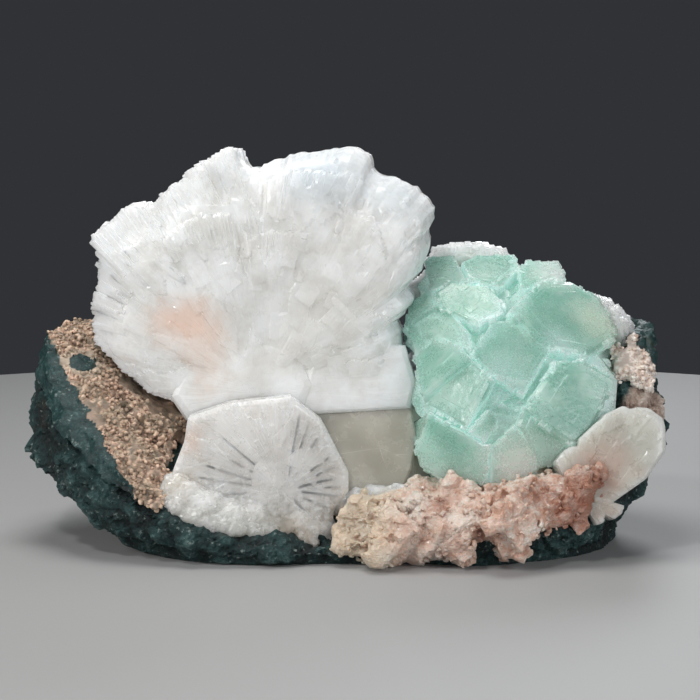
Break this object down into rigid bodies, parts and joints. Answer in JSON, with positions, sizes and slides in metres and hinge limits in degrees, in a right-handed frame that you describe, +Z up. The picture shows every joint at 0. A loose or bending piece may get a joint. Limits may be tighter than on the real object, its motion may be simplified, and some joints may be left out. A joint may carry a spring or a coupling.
{
  "type": "apophyllite and stilbite crystal cluster",
  "caption": "Mineral specimen: green blocky apophyllite crystals beside an upright fan of white stilbite blades, on a dark green basalt lump with brown and pink crusts.",
  "frame": {"origin": "centre of the flat underside that the specimen rests on", "axes": "+X along the specimen's width, towards the green crystals; +Y from the displayed face to the back; +Z up"},
  "size_m": [0.1605, 0.0925, 0.0985],
  "materials": {
    "basalt": "rough, matt, dark green",
    "apophyllite": "translucent mint green, glassy sides and frosted ends",
    "stilbite_white": "milky white, pearly, finely grooved",
    "stilbite_clear": "translucent greyish white, pearly, finely grooved",
    "stilbite_grey": "smooth, pearly grey",
    "stilbite_tan": "translucent greyish tan",
    "stilbite_pink": "salmon pink crystalline crust",
    "druse": "brown grains, matt to sparkling"
  },
  "bodies": {
    "root": {"basalt_matrix": "basalt", "apophyllite_cluster": "apophyllite", "stilbite_sheaf_main": "stilbite_white", "stilbite_sheaf_front": "stilbite_clear", "stilbite_plate": "stilbite_grey", "stilbite_sheaf_back": "stilbite_white", "stilbite_sheaf_right": "stilbite_white", "stilbite_sheaf_tan": "stilbite_tan", "stilbite_crust_pink": "stilbite_pink", "druse_left": "druse", "druse_right": "druse"}
  },
  "joints": []
}
